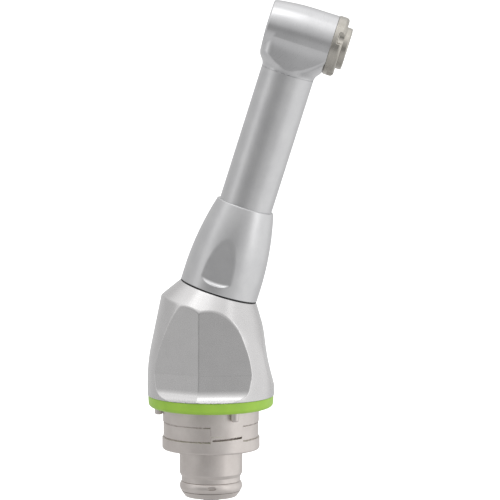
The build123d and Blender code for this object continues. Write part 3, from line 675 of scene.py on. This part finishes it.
def head_field(s, y, u):
    """Barrel about the bur axis, on a boss with leaning sides whose foot is coned down to the neck."""
    reach = HEAD_R - HEAD_BULGE * np.maximum(0, HEAD_FULL - s) ** 2
    taper = 1 + HEAD_TAPER * np.minimum(u, 0)
    front = HEAD_FRONT * taper - s
    r = np.hypot(y, u)
    neck_r = np.hypot(s, y)
    barrel = meet(meet(r - reach, front, 0.35), s - HEAD_BACK, 0.1)
    rise = u + HEAD_T - NECK_HIGH
    foot = meet(np.abs(y) - boss_half_width(u, reach, taper), u)
    foot = meet(meet(foot, front, 2.2), s - HEAD_BACK, 0.1)
    foot = meet(foot, flare_field(neck_r, rise), 0.35)
    foot = meet(foot, -rise, 0.015)
    head = join(barrel, foot, 0.02)
    bore = join(meet(r - HEAD_MOUTH_R, s), meet(r - SEAT_R, band(s, HEAD_SEAT_START, 0)))
    bore = join(bore, meet(r - HEAD_BORE_R, HEAD_BORE_START - s))
    bore = join(bore, meet(neck_r - (NECK_SPIGOT_R + FIT_GAP), u + HEAD_T - NECK_TOP))
    bore = join(bore, meet(neck_r - HEAD_GEAR_BORE_R, u))
    return cut(head, bore, 0.06)


def cap_field(x, y, z):
    """Screwed cap with scallops for its spanner, and the sleeve that holds the rear bearing."""
    r = np.hypot(x, y)
    cap = meet(meet(r - CAP_R, HEAD_BACK - z, 0.1), z - CAP_BACK, CAP_ROUND)
    cap = join(cap, meet(r - (HEAD_BORE_R - FIT_GAP), band(z, CAP_SLEEVE_LOW, 6)), 0.03)
    cap = cut(cap, join(r - SEAT_R, meet(r - CAP_BORE_R, CAP_FLOOR - z)), 0.06)
    for index in range(SCALLOPS):
        outward, aside = turned_about(SCALLOP_FIRST + 360 / SCALLOPS * index, x, y)
        scallop = np.hypot(outward - (CAP_R + SCALLOP_OUT), aside) - SCALLOP_R
        cap = cut(cap, meet(scallop, SCALLOP_LOW - z, 0.2), 0.08)
    return cap


def make_front_seal():
    """Shield in the head's mouth, round the spindle."""
    corners = tube_corners(SEAL_R, HEAD_MOUTH_R - FIT_GAP, HEAD_FRONT + 0.1, SEAL_BACK, 0.06)
    return lathe("front_shield", corners, BUR, 96)


def make_button_retainer():
    """Ring in the cap that keeps the button in."""
    corners = tube_corners(BUTTON_R + 0.06, CAP_BORE_R - FIT_GAP, RETAINER_LOW, CAP_BACK - 0.02, 0.07)
    return lathe("button_ring", corners, BUR)


def make_push_button():
    """Button with a flange that stays under its ring, and a boss that presses the plunger."""
    corners = [
        (0, BUTTON_BOSS_LOW, 0), (BUTTON_BOSS_R, BUTTON_BOSS_LOW, 0.1), (BUTTON_BOSS_R, BUTTON_ROOF, 0.05),
        (BUTTON_WALL_R, BUTTON_ROOF, 0.05), (BUTTON_WALL_R, BUTTON_FLANGE_LOW, 0.04),
        (BUTTON_FLANGE_R, BUTTON_FLANGE_LOW, 0.05), (BUTTON_FLANGE_R, BUTTON_FLANGE_TOP, 0.05),
        (BUTTON_R, BUTTON_FLANGE_TOP, 0.04), (BUTTON_R, BUTTON_BACK - 0.09, 0.26),
        (BUTTON_CROWN_R, BUTTON_BACK, 1.2), (0, BUTTON_BACK, 0),
    ]
    return lathe("press_cap", corners, BUR)


def make_button_spring():
    """Coil between the rear bearing and the button."""
    steps, around = 240, 12
    turn = 2 * math.pi * COIL_TURNS * np.arange(steps + 1) / steps
    points, normals, faces = [], [], []
    for index, angle in enumerate(turn):
        out = np.array((math.cos(angle), math.sin(angle), 0))
        height = COIL_LOW + (COIL_HIGH - COIL_LOW) * index / steps
        centre = COIL_R * out + np.array((0, 0, height))
        for spot in range(around):
            lean = 2 * math.pi * spot / around
            normal = out * math.cos(lean) + np.array((0, 0, math.sin(lean)))
            points.append(centre + COIL_WIRE_R * normal)
            normals.append(normal)
    for index in range(steps):
        for spot in range(around):
            ahead = (spot + 1) % around
            faces.append((index * around + spot, (index + 1) * around + spot,
                          (index + 1) * around + ahead, index * around + ahead))
    faces.append(tuple(range(around)))
    faces.append(tuple(steps * around + spot for spot in reversed(range(around))))
    return add_piece("button_coil", np.array(points), faces, np.array(normals), BUR)


def make_spindle():
    """Hollow spindle with two collars, the chuck bore, its relief groove and the plunger's bore."""
    corners = [
        (CHUCK_R, CHUCK_MOUTH, 0.12), (JOURNAL_R, CHUCK_MOUTH, 0.06), (JOURNAL_R, FRONT_COLLAR_LOW, 0.02),
        (FRONT_COLLAR_R, FRONT_COLLAR_LOW, 0.03), (FRONT_COLLAR_R, FRONT_COLLAR_TOP, 0.03),
        (JOURNAL_R, FRONT_COLLAR_TOP, 0.02), (JOURNAL_R, COLLAR_LOW - 0.1, 0.05),
        (COLLAR_R, COLLAR_LOW, 0.03), (COLLAR_R, COLLAR_TOP, 0.03), (JOURNAL_R, COLLAR_TOP, 0.02),
        (JOURNAL_R, SPINDLE_TOP, 0.06),
        (PLUNGER_BORE_R, SPINDLE_TOP, 0.04), (PLUNGER_BORE_R, KEY_END, 0.03), (CHUCK_R, KEY_END, 0.03),
        (CHUCK_R, RELIEF_END, 0.03), (RELIEF_R, RELIEF_END, 0.03), (RELIEF_R, CHUCK_END, 0.03),
        (CHUCK_R, CHUCK_END, 0.03),
    ]
    return lathe("bur_spindle", corners, BUR, 96)


def shaft_field(x, y, z):
    """Input shaft with a two-flat tang below and the sun gear's seat above."""
    r = np.hypot(x, y)
    stub = meet(r - SHAFT_STUB_R, z - SHAFT_STUB_TOP)
    body = meet(r - JOURNAL_R, band(z, SHAFT_STUB_TOP, SHAFT_BODY_TOP))
    shaft = join(join(stub, body, 0.03), meet(r - SUN_SEAT_R, SUN_SEAT_LOW - z), 0.03)
    shaft = meet(shaft, band(z, SHAFT_END, SHAFT_TOP), 0.16)
    for side in (-1, 1):
        shaft = cut(shaft, meet(TANG_HALF - side * y, z - TANG_TOP, 0.1), 0.04)
    return shaft


# ---------------------------------------------------------------- materials


class Nodes:
    """A material's node tree, with short calls for the nodes that the finishes share."""

    def __init__(self, name):
        self.material = bpy.data.materials.new(name)
        self.material.use_nodes = True
        self.tree = self.material.node_tree
        self.shader = self.tree.nodes["Principled BSDF"]

    def add(self, kind, **settings):
        node = self.tree.nodes.new(kind)
        for key, value in settings.items():
            setattr(node, key, value)
        return node

    def link(self, source, target):
        self.tree.links.new(source, target)

    def value(self, kind, first, second=None):
        node = self.add("ShaderNodeMath", operation=kind)
        for socket, item in zip(node.inputs, (first, second)):
            if item is None:
                continue
            if isinstance(item, (int, float)):
                socket.default_value = item
            else:
                self.link(item, socket)
        return node.outputs[0]

    def scaled(self, value, factor):
        return self.value("MULTIPLY", value, factor)

    def blend(self, first, second, share):
        """The two values added, with a share for the second and the rest for the first."""
        return self.value("ADD", self.scaled(first, 1 - share), self.scaled(second, share))

    def local(self, place):
        """Object coordinates in a local frame, in millimetres."""
        here = self.add("ShaderNodeTexCoord").outputs["Object"]
        back = place.inverted()
        rows = []
        for row in range(3):
            dot = self.add("ShaderNodeVectorMath", operation="DOT_PRODUCT")
            self.link(here, dot.inputs[0])
            dot.inputs[1].default_value = back[row][:3]
            rows.append(self.value("ADD", dot.outputs["Value"], back[row][3]))
        return rows

    def combine(self, x, y, z):
        node = self.add("ShaderNodeCombineXYZ")
        for socket, item in zip(node.inputs, (x, y, z)):
            self.link(item, socket)
        return node.outputs[0]

    def noise(self, vector, scale, detail=2.0, rough=0.5):
        node = self.add("ShaderNodeTexNoise")
        node.inputs["Scale"].default_value = scale
        node.inputs["Detail"].default_value = detail
        node.inputs["Roughness"].default_value = rough
        self.link(vector, node.inputs["Vector"])
        return node.outputs["Fac"]

    def ramp(self, value, low, high, out_low, out_high):
        node = self.add("ShaderNodeMapRange")
        self.link(value, node.inputs["Value"])
        for key, item in (("From Min", low), ("From Max", high), ("To Min", out_low), ("To Max", out_high)):
            node.inputs[key].default_value = item
        return node.outputs["Result"]

    def bump(self, height, distance, onto=None):
        node = self.add("ShaderNodeBump")
        node.inputs["Strength"].default_value = 1.0
        node.inputs["Distance"].default_value = distance
        self.link(height, node.inputs["Height"])
        if onto is not None:
            self.link(onto, node.inputs["Normal"])
        return node.outputs["Normal"]

    def mix(self, share, first, second):
        node = self.add("ShaderNodeMix", data_type="RGBA")
        self.link(share, node.inputs["Factor"])
        node.inputs["A"].default_value = (*first, 1)
        node.inputs["B"].default_value = (*second, 1)
        return node.outputs["Result"]


def turned_coordinates(nodes, place, round_scale, along_scale):
    """Coordinates stretched round the axis, so that noise on them makes turning marks."""
    x, y, z = nodes.local(place)
    square = nodes.value("ADD", nodes.value("MULTIPLY", x, x), nodes.value("MULTIPLY", y, y))
    radius = nodes.value("SQRT", square)
    safe = nodes.value("MAXIMUM", radius, 0.01)
    cos = nodes.value("DIVIDE", x, safe)
    sin = nodes.value("DIVIDE", y, safe)
    step = nodes.value("ADD", nodes.scaled(z, along_scale), nodes.scaled(radius, along_scale))
    return nodes.combine(nodes.scaled(cos, round_scale), nodes.scaled(sin, round_scale), step)


def brushed_coordinates(nodes, place, across_scale, along_scale):
    """Coordinates stretched along the axis, so that noise on them makes brushing."""
    x, y, z = nodes.local(place)
    return nodes.combine(
        nodes.scaled(x, across_scale), nodes.scaled(y, across_scale), nodes.scaled(z, along_scale),
    )


def metal(name, colour, shade, rough, place, marks=0.0, grain=0.0, mottle=0.03, brushed=False):
    """Worked metal: turning marks round an axis, or brushing along it, a blasted grain, and slow changes of
    colour and gloss. marks and grain are bump depths in micrometres."""
    nodes = Nodes(name)
    shader = nodes.shader
    shader.inputs["Metallic"].default_value = 1.0
    position = nodes.combine(*nodes.local(place))
    slow = nodes.noise(position, 0.35, 3.0, 0.6)
    fine = nodes.noise(position, 9.0, 3.0, 0.65)
    if brushed:
        way = brushed_coordinates(nodes, place, 7.0, 0.35)
    else:
        way = turned_coordinates(nodes, place, 0.9, 14.0)
    lines = nodes.noise(way, 1.0, 4.0, 0.7)
    tint = nodes.ramp(nodes.blend(slow, fine, 0.4), 0.35, 0.65, 0.0, 1.0)
    nodes.link(nodes.mix(tint, shade, colour), shader.inputs["Base Color"])
    gloss = nodes.ramp(nodes.blend(fine, lines, 0.5), 0.3, 0.7, rough - mottle, rough + mottle)
    nodes.link(gloss, shader.inputs["Roughness"])
    normal = None
    if grain:
        speck = nodes.noise(position, 16.0, 2.0, 0.6)
        normal = nodes.bump(speck, grain * MICRON)
    if marks:
        normal = nodes.bump(lines, marks * MICRON, onto=normal)
    if normal is not None:
        nodes.link(normal, shader.inputs["Normal"])
    return nodes.material


def coating(name, colour, shade, rough, rough_spread, tint_scale, skin_scale, skin_depth):
    """A plain coat: slow changes of tint, and a skin whose bumps also change the gloss."""
    nodes = Nodes(name)
    position = nodes.combine(*nodes.local(BASE))
    tint = nodes.ramp(nodes.noise(position, tint_scale, 3.0), 0.3, 0.7, 0.0, 1.0)
    nodes.link(nodes.mix(tint, shade, colour), nodes.shader.inputs["Base Color"])
    skin = nodes.noise(position, skin_scale)
    gloss = nodes.ramp(skin, 0.3, 0.7, rough - rough_spread, rough + rough_spread)
    nodes.link(gloss, nodes.shader.inputs["Roughness"])
    nodes.link(nodes.bump(skin, skin_depth * MICRON), nodes.shader.inputs["Normal"])
    return nodes.material


def enamel(name, colour, shade, rough):
    """Coloured enamel with a faint orange peel."""
    return coating(name, colour, shade, rough, 0.05, 0.5, 3.0, 4)


def polymer(name, colour, shade, rough, grain):
    """Rubber or plastic with a moulded grain."""
    return coating(name, colour, shade, rough, 0.06, 1.2, 14.0, grain)


NICKEL = (0.78, 0.73, 0.70)
NICKEL_SHADE = (0.68, 0.63, 0.60)
CAP_NICKEL = (0.60, 0.575, 0.525)
CAP_NICKEL_SHADE = (0.50, 0.475, 0.43)
GRIP = (0.735, 0.725, 0.725)
GRIP_SHADE = (0.685, 0.675, 0.675)
STEEL = (0.735, 0.735, 0.74)
STEEL_SHADE = (0.67, 0.67, 0.68)
CHROME = (0.75, 0.75, 0.76)
CHROME_SHADE = (0.69, 0.69, 0.70)
GREEN = (0.45, 0.76, 0.085)
GREEN_SHADE = (0.40, 0.70, 0.075)
RUBBER = (0.015, 0.015, 0.016)
RUBBER_SHADE = (0.03, 0.03, 0.03)
SHIELD = (0.06, 0.06, 0.065)
SHIELD_SHADE = (0.09, 0.09, 0.095)
PHENOLIC = (0.34, 0.20, 0.09)
PHENOLIC_SHADE = (0.42, 0.27, 0.13)
BRASS = (0.72, 0.52, 0.22)
BRASS_SHADE = (0.62, 0.44, 0.18)
TOOL_STEEL = (0.52, 0.52, 0.54)
TOOL_STEEL_SHADE = (0.44, 0.44, 0.46)
GEAR_STEEL = (0.42, 0.42, 0.44)
GEAR_STEEL_SHADE = (0.34, 0.34, 0.37)
RACE_STEEL = (0.66, 0.66, 0.69)
RACE_STEEL_SHADE = (0.6, 0.6, 0.63)


def make_materials():
    """Every finish by its name."""
    return {
        "nickel": metal("nickel_turned", NICKEL, NICKEL_SHADE, 0.4, BASE, marks=5, grain=1.5, mottle=0.05),
        "nickel_head": metal("nickel_head", CAP_NICKEL, CAP_NICKEL_SHADE, 0.24, BUR, marks=4, grain=1,
                             mottle=0.05),
        "grip_steel": metal("grip_satin", GRIP, GRIP_SHADE, 0.27, BASE, grain=1.4, brushed=True),
        "satin_neck": metal("neck_satin", STEEL, STEEL_SHADE, 0.36, NECK, marks=2.5, grain=4.0, mottle=0.04),
        "head_chrome": metal("head_satin_chrome", CHROME, CHROME_SHADE, 0.29, BUR, grain=2.5),
        "green_mark": enamel("green_enamel", GREEN, GREEN_SHADE, 0.38),
        "black_rubber": polymer("seal_rubber", RUBBER, RUBBER_SHADE, 0.6, 6),
        "seal_plastic": polymer("shield_plastic", SHIELD, SHIELD_SHADE, 0.5, 4),
        "cage_plastic": polymer("cage_phenolic", PHENOLIC, PHENOLIC_SHADE, 0.55, 5),
        "brass": metal("turned_brass", BRASS, BRASS_SHADE, 0.28, BASE, marks=5, mottle=0.06),
        "tool_steel": metal("ground_steel", TOOL_STEEL, TOOL_STEEL_SHADE, 0.28, BASE, marks=4),
        "gear_steel": metal("gear_steel", GEAR_STEEL, GEAR_STEEL_SHADE, 0.3, BASE, grain=4),
        "bearing_steel": metal("bearing_steel", RACE_STEEL, RACE_STEEL_SHADE, 0.14, BASE, grain=1),
    }


# Two slots have a finish of another name, and the rest share theirs
FINISH_OF_SLOT = {slot: slot for slot in SLOT_OF.values()}
FINISH_OF_SLOT.update(button_nickel="nickel_head", satin_steel="satin_neck")


def paint_nodes(finishes):
    """Gives each shown CAD node its slot's finish, smooth over its curved faces."""
    for name, node in frame["nodes"].items():
        if node.hide_render:
            continue
        mesh = node.data
        mesh.materials.clear()
        mesh.materials.append(finishes[FINISH_OF_SLOT[SLOT_OF[name]]])
        mesh.polygons.foreach_set("use_smooth", np.ones(len(mesh.polygons), bool))
        mesh.set_sharp_from_angle(angle=SHARP_ANGLE)


# ---------------------------------------------------------------- build


def sculpted_pieces():
    """The pieces made from fields, by the CAD node that each stands for."""
    ring_corners = (-5.3, -5.3, -7.2), (5.3, 5.3, -5.5)
    grip_corners = (-BODY_R, -BODY_R, DRUM_TOP), (BODY_R, BODY_R, BODY_TOP)
    sleeve_corners = (-6.7, -6.7, SLEEVE_LOW), (6.7, 6.7, SLEEVE_HIGH)
    shaft_corners = (-1.5, -1.5, SHAFT_END), (1.5, 1.5, SHAFT_TOP)
    shapes = {
        "snap_ring": ("detent_ring", snap_ring_field, *ring_corners, 0.08, BASE),
        "coupling_drum": ("bayonet_drum", drum_field, (-8.2, -8.2, 0), (8.2, 8.2, 9.2), 1.2 * FINE, BASE),
        "rear_body": ("grip_body", body_field, *grip_corners, 1.4 * FINE, BASE),
        "middle_sleeve": ("grip_sleeve", sleeve_field, *sleeve_corners, 1.2 * FINE, NECK),
        "head_housing": ("head_shell", head_field, (-5.8, -5, -7.1), (5.5, 5, 5), FINE, HEAD),
        "back_cap": ("screw_cap", cap_field, (-5.1, -5.1, 3.4), (5.1, 5.1, 7.3), FINE, BUR),
        "drive_shaft": ("input_shaft", shaft_field, *shaft_corners, 0.09, BASE),
    }
    return {node: sculpt(*shape) for node, shape in shapes.items()}


def build_pieces(finishes):
    """Makes every new piece, puts it in its CAD node's place, and gives the spring a mesh of its own."""
    pieces = sculpted_pieces()
    makers = {
        "spigot": make_spigot, "index_pegs": make_index_pegs, "ratio_ring": make_ratio_ring,
        "bend_o_ring": make_bend_o_ring, "neck_tube": make_neck_tube, "front_seal": make_front_seal,
        "button_retainer": make_button_retainer, "push_button": make_push_button,
        "button_spring": make_button_spring, "spindle": make_spindle,
    }
    for node, make in makers.items():
        pieces[node] = make()
    for node, piece in pieces.items():
        stand_for(piece, node)
        in_cap = node in ("back_cap", "button_retainer")
        finish = "nickel_head" if in_cap else FINISH_OF_SLOT[SLOT_OF[node]]
        piece.data.materials.append(finishes[finish])
    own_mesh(pieces["button_spring"])


# ---------------------------------------------------------------- studio


def area_light(name, place, width, height, watts):
    """A soft box that faces the object's middle and that the camera doesn't see."""
    light = bpy.data.lights.new(name, "AREA")
    light.shape = "RECTANGLE"
    light.size = width
    light.size_y = height
    light.energy = watts
    lamp = bpy.data.objects.new(name, light)
    lamp.location = place
    lamp.rotation_euler = (LIGHT_AIM - Vector(place)).to_track_quat("-Z", "Y").to_euler()
    lamp.visible_camera = False
    bpy.context.scene.collection.objects.link(lamp)


def plain_material(name, colour, rough, glow):
    """One even colour that also gives off white light."""
    nodes = Nodes(name)
    nodes.shader.inputs["Base Color"].default_value = (*colour, 1)
    nodes.shader.inputs["Roughness"].default_value = rough
    nodes.shader.inputs["Emission Color"].default_value = (1, 1, 1, 1)
    nodes.shader.inputs["Emission Strength"].default_value = glow
    return nodes.material


def flat_sheet(name, corners, material):
    """A four-cornered sheet that belongs to the stage."""
    mesh = bpy.data.meshes.new(name)
    mesh.from_pydata(corners, [], [(0, 1, 2, 3)])
    mesh.materials.append(material)
    sheet = bpy.data.objects.new(name, mesh)
    bpy.context.scene.collection.objects.link(sheet)
    return sheet


# Brightness of the studio tent by the height of the direction (sine of its elevation)
TENT_HEIGHTS = (
    (-1.0, 0.45), (-0.6, 0.62), (-0.3, 0.56), (-0.05, 0.58), (0.2, 0.57), (0.45, 0.60), (0.72, 0.88),
    (0.88, 1.05), (1.0, 0.9),
)
# The curve node holds each brightness as a share of this
TENT_PEAK = 2.0
# The dark patch towards the camera: how dark it is, where its middle is, and how far it spreads
FRONT_DARK = 0.5
DARK_ACROSS = -0.24
DARK_UP = 0.05
DARK_WIDTH = 0.55
DARK_HEIGHT = 0.26
RIGHT_GLOW = 0.34
BACK_GLOW = 0.1


def make_tent():
    """A soft tent of light: grey low down, bright overhead, dark in front, brighter on the right."""
    world = bpy.data.worlds.new("studio")
    world.use_nodes = True
    bpy.context.scene.world = world
    tree = world.node_tree
    background = tree.nodes["Background"]
    background.inputs["Color"].default_value = (1, 1, 1, 1)

    def value(kind, first, second=0.0):
        node = tree.nodes.new("ShaderNodeMath")
        node.operation = kind
        for socket, item in zip(node.inputs, (first, second)):
            if isinstance(item, (int, float)):
                socket.default_value = item
            else:
                tree.links.new(item, socket)
        return node.outputs[0]

    def smooth(item, low, high):
        node = tree.nodes.new("ShaderNodeMapRange")
        node.interpolation_type = "SMOOTHSTEP"
        tree.links.new(item, node.inputs["Value"])
        node.inputs["From Min"].default_value = low
        node.inputs["From Max"].default_value = high
        return node.outputs["Result"]

    def height_light(z):
        curve = tree.nodes.new("ShaderNodeFloatCurve")
        points = curve.mapping.curves[0].points
        while len(points) < len(TENT_HEIGHTS):
            points.new(0.5, 0.5)
        for point, (height, light) in zip(points, TENT_HEIGHTS):
            point.location = (height / 2 + 0.5, light / TENT_PEAK)
        curve.mapping.update()
        tree.links.new(value("ADD", value("MULTIPLY", z, 0.5), 0.5), curve.inputs["Value"])
        return value("MULTIPLY", curve.outputs["Value"], TENT_PEAK)

    def front_dark(x, y, z):
        across = value("DIVIDE", value("SUBTRACT", x, DARK_ACROSS), DARK_WIDTH)
        up = value("DIVIDE", value("SUBTRACT", z, DARK_UP), DARK_HEIGHT)
        spread = value("ADD", value("MULTIPLY", across, across), value("MULTIPLY", up, up))
        lobe = value("SUBTRACT", 1.0, smooth(spread, 0.3, 1.6))
        dark = value("MULTIPLY", smooth(value("MULTIPLY", y, -1.0), 0.0, 0.3), lobe)
        return value("SUBTRACT", 1.0, value("MULTIPLY", dark, FRONT_DARK))

    coordinates = tree.nodes.new("ShaderNodeTexCoord")
    split = tree.nodes.new("ShaderNodeSeparateXYZ")
    tree.links.new(coordinates.outputs["Generated"], split.inputs[0])
    x, y, z = split.outputs
    level = value("SUBTRACT", 1.0, smooth(value("ABSOLUTE", z), 0.35, 0.8))
    right = value("MULTIPLY", smooth(x, 0.55, 0.9), level)
    light = value("MULTIPLY", height_light(z), front_dark(x, y, z))
    light = value("ADD", light, value("MULTIPLY", right, RIGHT_GLOW))
    light = value("ADD", light, value("MULTIPLY", smooth(y, 0.5, 1.0), BACK_GLOW))
    tree.links.new(light, background.inputs["Strength"])


LIGHT_AIM = Vector((0.006, 0, 0.035))


def make_studio():
    """Pale floor under the object, the tent, and three soft boxes."""
    low = CAD_BOX[0].z
    reach = 6.0
    floor = flat_sheet(
        "floor",
        ((-reach, -reach, low), (reach, -reach, low), (reach, reach, low), (-reach, reach, low)),
        plain_material("pale_floor", (0.9, 0.9, 0.9), 0.9, 0.75),
    )
    floor.visible_glossy = False
    floor.visible_diffuse = False
    floor.visible_shadow = False
    make_tent()
    area_light("top_box", (-0.05, -0.15, 0.85), 0.5, 0.4, 0.5)
    area_light("right_box", (0.62, -0.36, 0.22), 0.25, 0.6, 0.3)
    area_light("left_box", (-0.62, -0.22, 0.30), 0.25, 0.6, 0.15)


CAMERA_AZIMUTH = math.radians(2.5)
CAMERA_ELEVATION = math.radians(7.0)
CAMERA_DISTANCE = 0.80
CAMERA_AIM = Vector((6.55 * MM, 0, 33.4 * MM))
# Sensor and lens, in millimetres as Blender takes them
CAMERA_SENSOR = 36.0
CAMERA_LENS = 345.6


def make_camera():
    """Looks a little down at the object, from the front and slightly towards the neck's side."""
    level = math.cos(CAMERA_ELEVATION)
    out = Vector((math.sin(CAMERA_AZIMUTH) * level, -math.cos(CAMERA_AZIMUTH) * level,
                  math.sin(CAMERA_ELEVATION)))
    camera = bpy.data.cameras.new("camera")
    camera.sensor_width = CAMERA_SENSOR
    camera.lens = CAMERA_LENS
    camera.clip_start = 0.01
    view = bpy.data.objects.new("camera", camera)
    view.location = CAMERA_AIM + out * CAMERA_DISTANCE
    view.rotation_euler = (-out).to_track_quat("-Z", "Y").to_euler()
    bpy.context.scene.collection.objects.link(view)
    bpy.context.scene.camera = view


FINISHES = make_materials()
build_pieces(FINISHES)
paint_nodes(FINISHES)
make_studio()
make_camera()
bpy.context.scene.view_settings.view_transform = "Standard"
